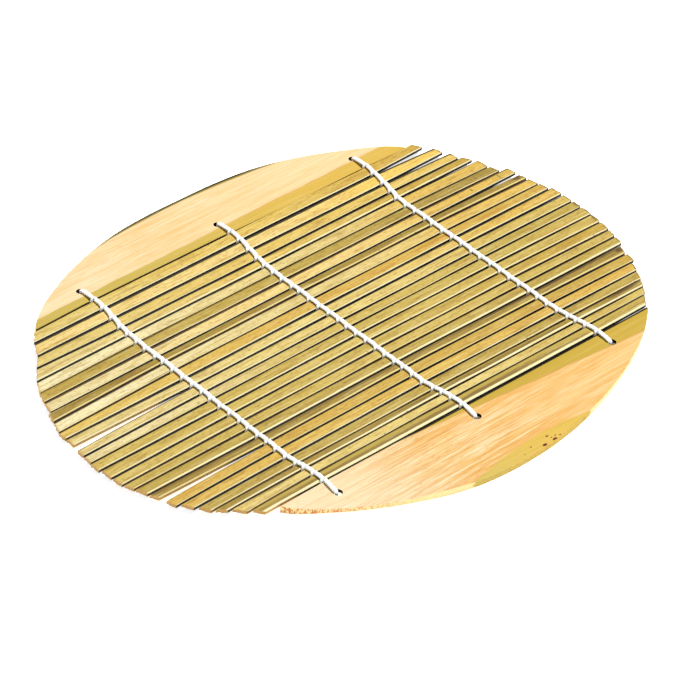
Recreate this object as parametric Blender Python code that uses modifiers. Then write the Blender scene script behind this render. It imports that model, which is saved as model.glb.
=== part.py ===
"""Oval bamboo mat: split bamboo strips between two wide end slats, tied by three cotton cords.

Metres, +Z up. X runs along the strips and Y from the near end slat to the far one. The mat lies flat on
z = 0: each end slat stands on two flat feet along its edges, and the cords' lower stitches touch down
between them, in channels under the slats and below the strips.
"""
import math
from collections import namedtuple

import bmesh
import bpy
from mathutils import Vector

MM = 0.001

# Cord: half sizes of its section on a strip's face, squeezed in a gap, and inside a drilled hole
CLEARANCE = 0.3 * MM
STITCH_HALF_WIDTH = 0.80 * MM
STITCH_HALF_HEIGHT = 0.42 * MM
SQUEEZED_HALF_WIDTH = 0.60 * MM
SQUEEZED_HALF_HEIGHT = 0.10 * MM
HOLE_HALF_WIDTH = 0.65 * MM
HOLE_HALF_HEIGHT = 0.42 * MM
KNOT_HALF_WIDTH = 1.15 * MM
STITCH_SIDESTEP = 0.80 * MM     # a strand rises this far right of the cord's line and dives this far left
STITCH_LIFT = STITCH_HALF_HEIGHT + CLEARANCE + 0.06 * MM    # cord's middle above the strip's face
LEAVING_SHARE = 0.8             # of the sidestep, where a stitch meets the strip's face beside a gap
SHOULDER = 0.45 * MM            # from the middle of a gap to where the cord lies level on the strip
HOLE_SHOULDER = 0.62 * MM
CORD_SECTION = ((1.0, 0.0), (0.55, 1.0), (-0.55, 1.0), (-1.0, 0.0), (-0.55, -1.0), (0.55, -1.0))

# Strips: flat splints with their skin up, split from the stem, lying just above the cord's lower stitches
STRIP_THICKNESS = 1.2 * MM
STRIP_UNDERSIDE = STITCH_LIFT + STITCH_HALF_HEIGHT
STRIP_TOP = STRIP_UNDERSIDE + STRIP_THICKNESS
CORD_GAP = 2 * (CLEARANCE + SQUEEZED_HALF_HEIGHT)           # between two strips where a cord passes
SKIN_CORNER_WIDTH = 0.15 * MM
SKIN_CORNER_DROP = 0.20 * MM
FLESH_DROP_RATIO = 0.45         # how far the pale split edge falls for each millimetre of its width
LARGEST_FLESH_SHARE = 0.45      # of a strip's width

# End slats: pieces of a wide stem, planed level on top, the skin left only along their long edges
CULM_RADIUS = 80.0 * MM
BORE_RADIUS = 78.0 * MM
CULM_SIDES = 240
CUTTER_LENGTH = 260.0 * MM
RIM_BEVEL = 0.25 * MM
RIM_BEVEL_ANGLE = math.radians(60.0)
WELD_DISTANCE = 0.001 * MM
OUTER_FOOT_WIDTH = 3.0 * MM
INNER_FOOT_WIDTH = 2.5 * MM
CHANNEL_WIDTH = 2 * (STITCH_SIDESTEP + STITCH_HALF_WIDTH + CLEARANCE)   # for a cord under the slat
HOLE_SIDES = 20

# The three cords in mm: X of the middle of each, of its line beside each end slat, and of its two holes
CordLine = namedtuple("CordLine", "name middle_x far_x near_x far_hole_x near_hole_x")
CORD_LINES = (
    CordLine("cord_left", -56.4, -53.5, -55.0, -54.6, -55.3),
    CordLine("cord_middle", 0.6, 3.6, 2.2, 2.6, 2.2),
    CordLine("cord_right", 59.3, 62.9, 61.4, 61.8, 61.2),
)
STRIPS_OF_SLIDE = 5             # a cord slides from its line at a slat to its middle over this many strips

# The 26 gaps, far to near, in mm: where each runs in Y, and how wide it is away from the cords
Gap = namedtuple("Gap", "left cord_1 cord_2 cord_3 right open_left open_1 open_2 open_right")
GAPS = (
    Gap(57.3, 58.2, 58.5, 58.5, 58.5, 0.5, 0.7, 0.3, 0.3),
    Gap(52.8, 53.0, 53.5, 53.7, 53.6, 0.8, 0.7, 0.9, 2.6),
    Gap(47.3, 47.5, 47.7, 47.8, 47.8, 0.6, 0.7, 0.7, 1.8),
    Gap(42.8, 42.4, 42.5, 43.0, 43.0, 0.6, 0.7, 0.7, 0.5),
    Gap(37.7, 38.1, 38.3, 38.9, 38.9, 0.7, 0.7, 0.6, 1.2),
    Gap(32.8, 33.4, 33.8, 34.0, 33.5, 0.4, 0.5, 0.5, 0.6),
    Gap(28.5, 29.1, 29.4, 29.8, 29.4, 0.5, 0.5, 0.5, 0.5),
    Gap(23.7, 24.2, 24.6, 24.9, 24.8, 0.5, 0.6, 0.7, 1.6),
    Gap(19.5, 20.8, 21.3, 21.5, 20.8, 0.8, 0.6, 0.5, 0.9),
    Gap(14.7, 16.0, 16.5, 16.6, 16.4, 0.6, 0.5, 0.5, 0.5),
    Gap(11.2, 11.2, 11.8, 12.2, 12.4, 0.4, 0.5, 0.5, 0.5),
    Gap(6.2, 6.8, 7.3, 7.7, 7.4, 2.6, 0.6, 0.7, 1.0),
    Gap(1.6, 2.3, 2.8, 2.9, 2.7, 0.7, 0.6, 0.6, 0.6),
    Gap(-2.2, -1.8, -1.3, -1.2, -1.4, 0.6, 0.5, 0.5, 0.6),
    Gap(-6.4, -6.3, -5.7, -5.8, -6.2, 0.7, 0.6, 0.5, 0.5),
    Gap(-11.3, -10.7, -10.1, -10.3, -11.0, 0.8, 0.7, 0.5, 0.6),
    Gap(-15.7, -15.2, -14.7, -14.8, -15.6, 0.6, 0.5, 0.5, 0.6),
    Gap(-19.3, -19.2, -18.9, -19.1, -19.5, 0.5, 0.5, 0.6, 0.6),
    Gap(-23.7, -23.7, -23.3, -23.6, -23.8, 0.8, 0.8, 0.7, 0.9),
    Gap(-28.0, -27.6, -26.9, -27.5, -28.2, 2.3, 0.6, 0.6, 0.8),
    Gap(-32.8, -31.9, -31.4, -31.9, -32.6, 0.6, 0.6, 0.6, 0.6),
    Gap(-36.9, -36.4, -35.9, -36.3, -36.7, 0.7, 0.7, 0.5, 0.5),
    Gap(-40.9, -40.5, -40.2, -40.5, -40.8, 0.6, 0.5, 0.6, 0.7),
    Gap(-43.8, -43.5, -43.3, -43.6, -43.9, 0.5, 0.5, 0.5, 0.5),
    Gap(-47.8, -47.2, -46.9, -47.1, -47.1, 0.5, 0.5, 0.5, 0.5),
    Gap(-51.5, -51.3, -51.4, -51.6, -51.4, 0.9, 0.6, 0.7, 0.6),
)

# The 25 strips, far to near, in mm: X of each end's far and near corner, width of the pale split edge
Strip = namedtuple("Strip", "left_far left_near right_far right_near flesh tone")
STRIPS = (
    Strip(-78.8, -81.8, 83.2, 85.2, 0.30, "olive_gold"),
    Strip(-82.2, -84.9, 87.6, 88.7, 0.45, "gold"),
    Strip(-85.5, -89.0, 90.1, 90.5, 0.35, "gold"),
    Strip(-89.4, -93.0, 91.6, 93.6, 0.90, "yellow"),
    Strip(-93.5, -95.8, 94.8, 95.2, 0.30, "cream"),
    Strip(-96.3, -97.4, 95.5, 96.6, 0.40, "olive"),
    Strip(-97.8, -98.9, 99.5, 100.3, 0.50, "cream"),
    Strip(-100.1, -101.1, 100.1, 101.0, 0.80, "dark"),
    Strip(-101.6, -102.9, 100.9, 101.8, 0.30, "cream"),
    Strip(-103.4, -103.4, 102.2, 102.8, 0.60, "orange"),
    Strip(-103.3, -103.4, 103.8, 104.2, 0.50, "cream"),
    Strip(-104.2, -104.1, 104.1, 104.1, 0.40, "pale"),
    Strip(-104.3, -104.4, 104.2, 104.2, 0.30, "pale"),
    Strip(-104.8, -104.8, 104.2, 104.1, 0.50, "golden_olive"),
    Strip(-103.9, -104.0, 103.8, 103.4, 0.70, "olive"),
    Strip(-103.9, -103.5, 103.3, 102.8, 0.60, "olive"),
    Strip(-103.1, -101.9, 102.4, 101.8, 0.40, "golden_olive"),
    Strip(-101.6, -100.4, 101.5, 100.9, 0.90, "olive"),
    Strip(-100.2, -98.7, 99.2, 98.0, 1.60, "dark"),
    Strip(-98.0, -97.0, 98.0, 97.4, 0.40, "gold"),
    Strip(-95.4, -93.6, 95.8, 94.5, 0.50, "orange"),
    Strip(-92.2, -90.4, 93.7, 92.3, 0.60, "olive_gold"),
    Strip(-89.0, -86.4, 91.4, 90.2, 1.00, "dark"),
    Strip(-84.9, -82.2, 89.6, 87.6, 0.40, "pale"),
    Strip(-80.3, -78.2, 86.9, 83.8, 1.90, "olive"),
)

# Outer rim of each end slat in mm, left to right; its inner edge follows the gap beside it
OutlinePoint = namedtuple("OutlinePoint", "x y")
FAR_RIM = (
    OutlinePoint(-77.2, 58.3), OutlinePoint(-71.2, 63.7), OutlinePoint(-61.0, 69.7),
    OutlinePoint(-46.5, 75.7), OutlinePoint(-33.2, 79.4), OutlinePoint(-17.5, 81.7),
    OutlinePoint(1.0, 82.2), OutlinePoint(20.5, 81.7), OutlinePoint(36.3, 79.4),
    OutlinePoint(50.2, 75.2), OutlinePoint(62.9, 69.7), OutlinePoint(74.4, 63.7),
    OutlinePoint(81.0, 59.0),
)
NEAR_RIM = (
    OutlinePoint(-73.0, -52.0), OutlinePoint(-69.8, -55.8), OutlinePoint(-63.3, -61.2),
    OutlinePoint(-51.8, -68.4), OutlinePoint(-34.4, -75.7), OutlinePoint(-20.6, -79.5),
    OutlinePoint(-12.3, -80.8), OutlinePoint(2.0, -81.4), OutlinePoint(18.4, -80.1),
    OutlinePoint(34.7, -76.8), OutlinePoint(48.9, -72.3), OutlinePoint(62.3, -66.6),
    OutlinePoint(74.5, -59.6), OutlinePoint(83.5, -52.2),
)
RIM_RESOLUTION = 3

# End slats in mm: side is +1 toward the far end, planed_y and planed_half give the level band on top
Slat = namedtuple("Slat", "name side rim hole_y hole_radius planed_y planed_half skew_degrees")
SLATS = (
    Slat("end_slat_far", 1, FAR_RIM, 64.3, 1.20, 71.4, 9.5, 0.8),
    Slat("end_slat_near", -1, NEAR_RIM, -57.9, 1.50, -66.0, 12.6, -1.2),
)

TONES = {
    "olive": (0.42, 0.36, 0.11),
    "olive_gold": (0.52, 0.40, 0.12),
    "golden_olive": (0.54, 0.42, 0.15),
    "gold": (0.62, 0.43, 0.12),
    "yellow": (0.66, 0.48, 0.16),
    "orange": (0.66, 0.36, 0.09),
    "pale": (0.68, 0.57, 0.27),
    "cream": (0.76, 0.62, 0.30),
    "dark": (0.36, 0.26, 0.07),
    "planed": (0.83, 0.56, 0.27),
    "cotton": (0.92, 0.89, 0.82),
}
BAMBOO_ROUGHNESS = 0.45
PLANED_ROUGHNESS = 0.6
COTTON_ROUGHNESS = 0.9


def clear_scene():
    """Remove whatever objects the file starts with."""
    for old in list(bpy.data.objects):
        bpy.data.objects.remove(old, do_unlink=True)


def add_collection(name):
    """Make a collection under the scene."""
    collection = bpy.data.collections.new(name)
    bpy.context.scene.collection.children.link(collection)
    return collection


def finish(obj, tone, roughness):
    """Give the object a material of its own in one of the named tones."""
    material = bpy.data.materials.new(obj.name)
    material.use_nodes = True
    shader = material.node_tree.nodes["Principled BSDF"]
    shader.inputs["Base Color"].default_value = (*TONES[tone], 1.0)
    shader.inputs["Roughness"].default_value = roughness
    shader.inputs["Metallic"].default_value = 0.0
    obj.data.materials.clear()
    obj.data.materials.append(material)


def loft(name, sections, closed, collection, parent):
    """Join sections of equal point count by faces: a ring when closed, else with a cap on each end."""
    mesh = bmesh.new()
    rings = [[mesh.verts.new(point) for point in section] for section in sections]
    sides = len(sections[0])
    followers = rings[1:] + rings[:1] if closed else rings[1:]
    for ring, follower in zip(rings, followers):
        for k in range(sides):
            after = (k + 1) % sides
            mesh.faces.new((ring[k], ring[after], follower[after], follower[k]))
    if not closed:
        mesh.faces.new(rings[0])
        mesh.faces.new(rings[-1])
    bmesh.ops.recalc_face_normals(mesh, faces=mesh.faces)
    data = bpy.data.meshes.new(name)
    mesh.to_mesh(data)
    mesh.free()
    obj = bpy.data.objects.new(name, data)
    obj.parent = parent
    collection.objects.link(obj)
    return obj


def gap_stations(gap):
    """X, Y and width, in metres, of a gap at each cord and midway between cords, left to right."""
    cords = [line.middle_x for line in CORD_LINES]
    middle_y = ((gap.cord_1 + gap.cord_2) / 2, (gap.cord_2 + gap.cord_3) / 2)
    rows = (
        (cords[0], gap.cord_1, CORD_GAP / MM),
        ((cords[0] + cords[1]) / 2, middle_y[0], gap.open_1),
        (cords[1], gap.cord_2, CORD_GAP / MM),
        ((cords[1] + cords[2]) / 2, middle_y[1], gap.open_2),
        (cords[2], gap.cord_3, CORD_GAP / MM),
    )
    return [(x * MM, y * MM, width * MM) for x, y, width in rows]


def strip_section(far, near, flesh):
    """Six points around a strip from its far side (x, y) to its near side, flesh wide at the near top."""
    width = far[1] - near[1]
    flesh = min(flesh, LARGEST_FLESH_SHARE * width)
    skin_corner = SKIN_CORNER_WIDTH / width
    flesh_drop = SKIN_CORNER_DROP / 2 + FLESH_DROP_RATIO * flesh
    profile = (
        (0.0, STRIP_UNDERSIDE),
        (0.0, STRIP_TOP - SKIN_CORNER_DROP),
        (skin_corner, STRIP_TOP),
        (1.0 - flesh / width, STRIP_TOP),
        (1.0, STRIP_TOP - flesh_drop),
        (1.0, STRIP_UNDERSIDE),
    )
    return [
        Vector((far[0] + (near[0] - far[0]) * across, far[1] - width * across, height))
        for across, height in profile
    ]


def add_strip(number, strip, far_gap, near_gap, collection, parent):
    """One split strip between two gaps, cut along the oval at both ends."""
    flesh = strip.flesh * MM
    sections = [strip_section(
        (strip.left_far * MM, (far_gap.left - far_gap.open_left / 2) * MM),
        (strip.left_near * MM, (near_gap.left + near_gap.open_left / 2) * MM), flesh)]
    for (x, far_y, far_width), (_, near_y, near_width) in zip(gap_stations(far_gap), gap_stations(near_gap)):
        sections.append(strip_section((x, far_y - far_width / 2), (x, near_y + near_width / 2), flesh))
    sections.append(strip_section(
        (strip.right_far * MM, (far_gap.right - far_gap.open_right / 2) * MM),
        (strip.right_near * MM, (near_gap.right + near_gap.open_right / 2) * MM), flesh))
    obj = loft(f"strip_{number:02d}", sections, False, collection, parent)
    finish(obj, strip.tone, BAMBOO_ROUGHNESS)


def smooth_step(share):
    """Ease from 0 to 1 as share runs from 0 to 1."""
    share = min(max(share, 0.0), 1.0)
    return share * share * (3.0 - 2.0 * share)


def cord_x(line, gap_number):
    """X of a cord's line at a gap: it slides across over the first and the last few strips."""
    gaps_to_near_end = len(GAPS) - 1 - gap_number
    far_slide = smooth_step(1.0 - gap_number / STRIPS_OF_SLIDE)
    near_slide = smooth_step(1.0 - gaps_to_near_end / STRIPS_OF_SLIDE)
    far_shift = (line.far_x - line.middle_x) * far_slide
    near_shift = (line.near_x - line.middle_x) * near_slide
    return (line.middle_x + far_shift + near_shift) * MM


def gap_y(line, gap_number):
    """Y of a gap at a cord."""
    gap = GAPS[gap_number]
    return getattr(gap, f"cord_{CORD_LINES.index(line) + 1}") * MM


def cord_ring(x, y, z, direction, half_width, half_height):
    """Six points around a cord at (x, y, z), where direction is its heading in the YZ plane."""
    normal = (-direction[1], direction[0])
    return [
        Vector((x + u * half_width, y + v * half_height * normal[0], z + v * half_height * normal[1]))
        for u, v in CORD_SECTION
    ]


NEARWARD = (-1.0, 0.0)
FARWARD = (1.0, 0.0)
UPWARD = (0.0, 1.0)
DOWNWARD = (0.0, -1.0)


def level_ring(x, y, above, heading):
    """The cord lying level on a strip's face, or beneath it."""
    z = STRIP_TOP + STITCH_LIFT if above else STRIP_UNDERSIDE - STITCH_LIFT
    return cord_ring(x, y, z, heading, STITCH_HALF_WIDTH, STITCH_HALF_HEIGHT)


def strand_rings(line, starts_above):
    """One strand from the far slat to the near one: over one piece, under the next."""
    rings = []
    for number in range(len(GAPS)):
        above = starts_above == (number % 2 == 0)
        side = -STITCH_SIDESTEP if above else STITCH_SIDESTEP
        x = cord_x(line, number) + side
        y = gap_y(line, number)
        leaving_x = cord_x(line, number) + LEAVING_SHARE * side
        heights = (STRIP_TOP, STRIP_UNDERSIDE) if above else (STRIP_UNDERSIDE, STRIP_TOP)
        heading = DOWNWARD if above else UPWARD
        rings.append(level_ring(leaving_x, y + SHOULDER, above, NEARWARD))
        for z in heights:
            rings.append(cord_ring(x, y, z, heading, SQUEEZED_HALF_WIDTH, SQUEEZED_HALF_HEIGHT))
        rings.append(level_ring(leaving_x, y - SHOULDER, not above, NEARWARD))
    return rings


def hole_x(line, slat):
    """X of a cord's hole in one of the end slats."""
    return (line.far_hole_x if slat.side > 0 else line.near_hole_x) * MM


def hole_rings(line, slat, heading):
    """The cord passing through its hole, up or down."""
    heights = (STRIP_UNDERSIDE, STRIP_TOP)
    if heading == DOWNWARD:
        heights = (STRIP_TOP, STRIP_UNDERSIDE)
    return [
        cord_ring(hole_x(line, slat), slat.hole_y * MM, z, heading, HOLE_HALF_WIDTH, HOLE_HALF_HEIGHT)
        for z in heights
    ]


def reverse_heading(ring):
    """The same ring of points as a strand that runs the other way meets it."""
    return [ring[0], ring[5], ring[4], ring[3], ring[2], ring[1]]


def add_cord(line, collection, parent):
    """One cotton cord: folded through the far hole, twined past every strip, tied at the near hole."""
    far, near = SLATS
    far_x, near_x = hole_x(line, far), hole_x(line, near)
    far_y = far.hole_y * MM - HOLE_SHOULDER
    near_y = near.hole_y * MM + HOLE_SHOULDER
    knot_z = STRIP_UNDERSIDE - STITCH_LIFT
    rings = hole_rings(line, far, UPWARD)
    rings.append(level_ring(far_x, far_y, True, NEARWARD))
    rings += strand_rings(line, True)
    rings.append(level_ring(near_x, near_y, True, NEARWARD))
    rings += hole_rings(line, near, DOWNWARD)
    rings.append(level_ring(near_x, near_y, False, FARWARD))
    rings.append(cord_ring(near_x, near_y + KNOT_HALF_WIDTH, knot_z, FARWARD,
                           KNOT_HALF_WIDTH, STITCH_HALF_HEIGHT))
    rings.append(level_ring(near_x, near_y + 2 * KNOT_HALF_WIDTH, False, FARWARD))
    rings += [reverse_heading(ring) for ring in reversed(strand_rings(line, False))]
    rings.append(level_ring(far_x, far_y, False, FARWARD))
    obj = loft(line.name, rings, True, collection, parent)
    finish(obj, "cotton", COTTON_ROUGHNESS)


def slat_outline(slat):
    """Points of a slat in plan and whether each is on the round rim: inner edge first, then the rim."""
    gap = GAPS[0] if slat.side > 0 else GAPS[-1]
    inner = [(x, y + slat.side * width / 2) for x, y, width in gap_stations(gap)]
    start = (slat.rim[0].x * MM, (gap.left + slat.side * gap.open_left / 2) * MM)
    end = (slat.rim[-1].x * MM, (gap.right + slat.side * gap.open_right / 2) * MM)
    rim = [(point.x * MM, point.y * MM) for point in reversed(slat.rim)]
    corners = [(start, False)] + [(point, False) for point in inner] + [(end, False)]
    return corners + [(point, True) for point in rim]


def add_blank(slat, collection, parent):
    """The slat's outline as a level board, its rim softened."""
    points = slat_outline(slat)
    curve = bpy.data.curves.new(slat.name, "CURVE")
    curve.dimensions = "2D"
    curve.fill_mode = "BOTH"
    curve.extrude = STRIP_TOP / 2
    curve.resolution_u = RIM_RESOLUTION
    curve.render_resolution_u = RIM_RESOLUTION
    spline = curve.splines.new("BEZIER")
    spline.bezier_points.add(len(points) - 1)
    for knot, ((x, y), is_round) in zip(spline.bezier_points, points):
        knot.co = (x, y, 0.0)
        kind = "AUTO" if is_round else "VECTOR"
        knot.handle_left_type = kind
        knot.handle_right_type = kind
    spline.use_cyclic_u = True
    source = bpy.data.objects.new(slat.name, curve)
    source.location.z = STRIP_TOP / 2
    collection.objects.link(source)
    depsgraph = bpy.context.evaluated_depsgraph_get()
    data = bpy.data.meshes.new_from_object(source.evaluated_get(depsgraph))
    bpy.data.objects.remove(source, do_unlink=True)
    mesh = bmesh.new()
    mesh.from_mesh(data)
    bmesh.ops.remove_doubles(mesh, verts=mesh.verts, dist=WELD_DISTANCE)
    bmesh.ops.recalc_face_normals(mesh, faces=mesh.faces)
    mesh.to_mesh(data)
    mesh.free()
    obj = bpy.data.objects.new(slat.name, data)
    obj.location.z = STRIP_TOP / 2
    obj.parent = parent
    collection.objects.link(obj)
    rim = obj.modifiers.new("Softened rim", "BEVEL")
    rim.width = RIM_BEVEL
    rim.segments = 1
    rim.limit_method = "ANGLE"
    rim.angle_limit = RIM_BEVEL_ANGLE
    return obj


def put_with_cutters(cutter, cutters, parent):
    """Hide a cutter in the cutters' collection."""
    cutter.display_type = "WIRE"
    cutter.hide_render = True
    cutter.parent = parent
    for owner in list(cutter.users_collection):
        owner.objects.unlink(cutter)
    cutters.objects.link(cutter)
    return cutter


def add_cylinder_cutter(name, radius, length, sides, location, rotation, cutters, parent):
    """A cylinder in the cutters' collection."""
    bpy.ops.mesh.primitive_cylinder_add(vertices=sides, radius=radius, depth=length,
                                        location=location, rotation=rotation)
    cutter = bpy.context.object
    cutter.name = name
    return put_with_cutters(cutter, cutters, parent)


def cut(obj, cutter, operation):
    """Boolean one object with another."""
    modifier = obj.modifiers.new(cutter.name, "BOOLEAN")
    modifier.operation = operation
    modifier.solver = "EXACT"
    modifier.object = cutter


def inner_edge_y(slat):
    """Y of a slat's inner edge at the middle cord."""
    gap = GAPS[0] if slat.side > 0 else GAPS[-1]
    return gap.cord_2 * MM + slat.side * CORD_GAP / 2


def add_channel_cutter(slat, line, cutters, parent):
    """A box that clears the cord's run below the slat, from its hole to the slat's inner edge."""
    hole_end = (slat.hole_y + slat.side * slat.hole_radius) * MM
    open_end = inner_edge_y(slat) - slat.side * 2 * CORD_GAP
    length = abs(hole_end - open_end)
    edge_x = (line.far_x if slat.side > 0 else line.near_x) * MM
    width = CHANNEL_WIDTH + abs(edge_x - hole_x(line, slat))
    middle = ((hole_x(line, slat) + edge_x) / 2, (hole_end + open_end) / 2, 0.0)
    bpy.ops.mesh.primitive_cube_add(size=1.0, location=middle)
    cutter = bpy.context.object
    cutter.name = f"{slat.name}_{line.name}_channel"
    cutter.scale = (width, length, 2 * STRIP_UNDERSIDE)
    return put_with_cutters(cutter, cutters, parent)


def add_slat(slat, collection, cutters, parent):
    """One end slat: an oval segment of a wide stem's wall, planed on top, drilled for the three cords."""
    obj = add_blank(slat, collection, parent)
    lying = (0.0, math.pi / 2, math.radians(slat.skew_degrees))
    axis_z = STRIP_TOP - math.sqrt(CULM_RADIUS ** 2 - (slat.planed_half * MM) ** 2)
    skin = add_cylinder_cutter(f"{slat.name}_skin", CULM_RADIUS, CUTTER_LENGTH, CULM_SIDES,
                               (0.0, slat.planed_y * MM, axis_z), lying, cutters, parent)
    cut(obj, skin, "INTERSECT")
    rim_y = slat.side * max(slat.side * point.y for point in slat.rim) * MM
    outer_foot = rim_y - slat.side * OUTER_FOOT_WIDTH
    inner_foot = inner_edge_y(slat) + slat.side * INNER_FOOT_WIDTH
    half_span = abs(outer_foot - inner_foot) / 2
    hollow_z = -math.sqrt(BORE_RADIUS ** 2 - half_span ** 2)
    hollow = add_cylinder_cutter(f"{slat.name}_hollow", BORE_RADIUS, CUTTER_LENGTH, CULM_SIDES,
                                 (0.0, (outer_foot + inner_foot) / 2, hollow_z),
                                 (0.0, math.pi / 2, 0.0), cutters, parent)
    cut(obj, hollow, "DIFFERENCE")
    for line in CORD_LINES:
        cut(obj, add_channel_cutter(slat, line, cutters, parent), "DIFFERENCE")
        drill = add_cylinder_cutter(f"{slat.name}_{line.name}_hole", slat.hole_radius * MM, 4 * STRIP_TOP,
                                    HOLE_SIDES, (hole_x(line, slat), slat.hole_y * MM, STRIP_TOP / 2),
                                    (0.0, 0.0, 0.0), cutters, parent)
        cut(obj, drill, "DIFFERENCE")
    finish(obj, "planed", PLANED_ROUGHNESS)


def centre_in_plan(placement, collection):
    """Move the whole mat so that its outline is centred on the origin."""
    bpy.context.view_layer.update()
    depsgraph = bpy.context.evaluated_depsgraph_get()
    corners = []
    for obj in collection.objects:
        evaluated = obj.evaluated_get(depsgraph)
        corners += [evaluated.matrix_world @ vertex.co for vertex in evaluated.data.vertices]
    for axis in (0, 1):
        values = [corner[axis] for corner in corners]
        placement.location[axis] = -(min(values) + max(values)) / 2


def main():
    clear_scene()
    mat = add_collection("oval_bamboo_mat")
    cutters = add_collection("cutters")
    placement = bpy.data.objects.new("mat_placement", None)
    bpy.context.scene.collection.objects.link(placement)
    for number, (strip, far_gap, near_gap) in enumerate(zip(STRIPS, GAPS, GAPS[1:]), start=1):
        add_strip(number, strip, far_gap, near_gap, mat, placement)
    for slat in SLATS:
        add_slat(slat, mat, cutters, placement)
    for line in CORD_LINES:
        add_cord(line, mat, placement)
    centre_in_plan(placement, mat)


main()
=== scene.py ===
"""Oval bamboo mat: the looks of its split strips, planed end slats and twined cotton cords.

Laid out as a Blender add-on and run as a script. Metres, +Z up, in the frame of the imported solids: X runs
along the strips and Y from the near end slat to the far one.
"""
import math
from collections import namedtuple

import bpy
import numpy as np
from bpy.props import FloatProperty, FloatVectorProperty, IntProperty, PointerProperty
from mathutils import Matrix, Vector


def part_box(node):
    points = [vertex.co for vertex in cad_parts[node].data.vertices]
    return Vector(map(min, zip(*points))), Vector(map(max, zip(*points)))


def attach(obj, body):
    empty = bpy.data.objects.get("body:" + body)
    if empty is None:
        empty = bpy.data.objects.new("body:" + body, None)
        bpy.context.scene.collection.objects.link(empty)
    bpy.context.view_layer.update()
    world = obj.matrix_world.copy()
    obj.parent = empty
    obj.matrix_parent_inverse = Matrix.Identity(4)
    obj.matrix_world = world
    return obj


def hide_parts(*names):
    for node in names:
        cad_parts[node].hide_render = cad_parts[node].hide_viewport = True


bl_info = {
    "name": "Oval Bamboo Mat",
    "version": (1, 0, 0),
    "blender": (4, 5, 0),
    "location": "View3D > Sidebar > Bamboo Mat",
    "description": "Split bamboo strips and planed end slats tied by twined cotton cords",
    "category": "Object",
}

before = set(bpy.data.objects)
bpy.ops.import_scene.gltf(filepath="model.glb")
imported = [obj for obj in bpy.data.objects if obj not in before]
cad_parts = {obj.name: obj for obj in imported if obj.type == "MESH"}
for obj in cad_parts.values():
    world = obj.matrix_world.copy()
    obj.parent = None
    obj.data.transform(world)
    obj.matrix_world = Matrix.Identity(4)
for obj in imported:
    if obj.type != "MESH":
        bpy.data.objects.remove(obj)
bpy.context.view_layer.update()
MM = 0.001
STRIP_COUNT = 25
STRIP_NAMES = [f"strip_{number:02d}" for number in range(1, STRIP_COUNT + 1)]
STRIP_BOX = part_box(STRIP_NAMES[0])
STRIP_UNDERSIDE = STRIP_BOX[0].z
STRIP_TOP = STRIP_BOX[1].z

# How each strip looks, far to near: its skin at the left end, middle and right end; its pale split edge on
# the near side and how wide that is in mm; a band along its far side and its width in mm; how wide in mm the
# painted gap shade is that darkens its far edge; the painted shade on its walls in the gap; and how many
# brown specks it has, from 0 to 1
StripLook = namedtuple("StripLook", "left middle right lip lip_mm band band_mm line_mm wall specks")
STRIP_LOOKS = [StripLook(*row) for row in (
    ("straw", "gold", "ochre", "cream", 0.35, "ochre", 0.30, 0.10, "dark", 0.3),
    ("butter", "butter", "honey", "cream", 0.30, "gold", 0.20, 0.84, "dark", 0.2),
    ("straw", "gold", "gold", "ivory", 0.30, "gold", 0.20, 0.72, "dark", 0.3),
    ("pale", "gold", "fawn", "cream", 0.55, "olive", 0.30, 0.48, "dark", 0.2),
    ("cream", "pale", "brass", "ivory", 0.20, "pale", 0.15, 0.38, "khaki", 0.1),
    ("moss", "moss", "khaki", "ivory", 0.30, "khaki", 0.40, 0.05, "brown", 0.3),
    ("ivory", "butter", "brass", "cream", 0.25, "pale", 0.20, 0.66, "dark", 0.2),
    ("khaki", "khaki", "khaki", "pale", 0.52, "umber", 0.12, 0.04, "brown", 0.3),
    ("cream", "pale", "brass", "ivory", 0.30, "pale", 0.20, 0.44, "brown", 0.1),
    ("gold", "amber", "ochre", "cream", 0.35, "ochre", 0.30, 0.20, "dark", 0.6),
    ("pale", "straw", "brass", "cream", 0.40, "straw", 0.15, 0.56, "dark", 0.5),
    ("pale", "straw", "olive", "cream", 0.30, "straw", 0.15, 0.40, "dark", 0.3),
    ("ivory", "olive", "moss", "ivory", 0.25, "olive", 0.25, 0.28, "dark", 0.2),
    ("olive", "sage", "sage", "cream", 0.40, "moss", 0.30, 0.14, "dark", 0.4),
    ("olive", "olive", "sage", "ivory", 0.50, "moss", 0.30, 0.28, "dark", 0.7),
    ("olive", "sage", "fawn", "ivory", 0.50, "moss", 0.30, 0.20, "brown", 0.8),
    ("sage", "olive", "sage", "pale", 0.35, "moss", 0.30, 0.28, "brown", 0.4),
    ("moss", "moss", "moss", "cream", 0.60, "khaki", 0.35, 0.24, "dark", 0.3),
    ("khaki", "khaki", "khaki", "pale", 0.55, "umber", 0.90, 0.10, "dark", 0.3),
    ("amber", "ochre", "fawn", "pale", 0.30, "ochre", 0.30, 0.24, "dark", 0.5),
    ("brass", "brass", "amber", "cream", 0.30, "amber", 0.25, 0.24, "dark", 0.3),
    ("moss", "moss", "moss", "ivory", 0.40, "khaki", 0.30, 0.24, "umber", 0.3),
    ("khaki", "khaki", "khaki", "cream", 0.65, "khaki", 0.60, 0.12, "brown", 0.2),
    ("straw", "straw", "olive", "ivory", 0.25, "olive", 0.25, 0.22, "umber", 0.2),
    ("khaki", "khaki", "moss", "cream", 0.90, "moss", 1.30, 0.12, "dark", 0.6),
)]

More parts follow.
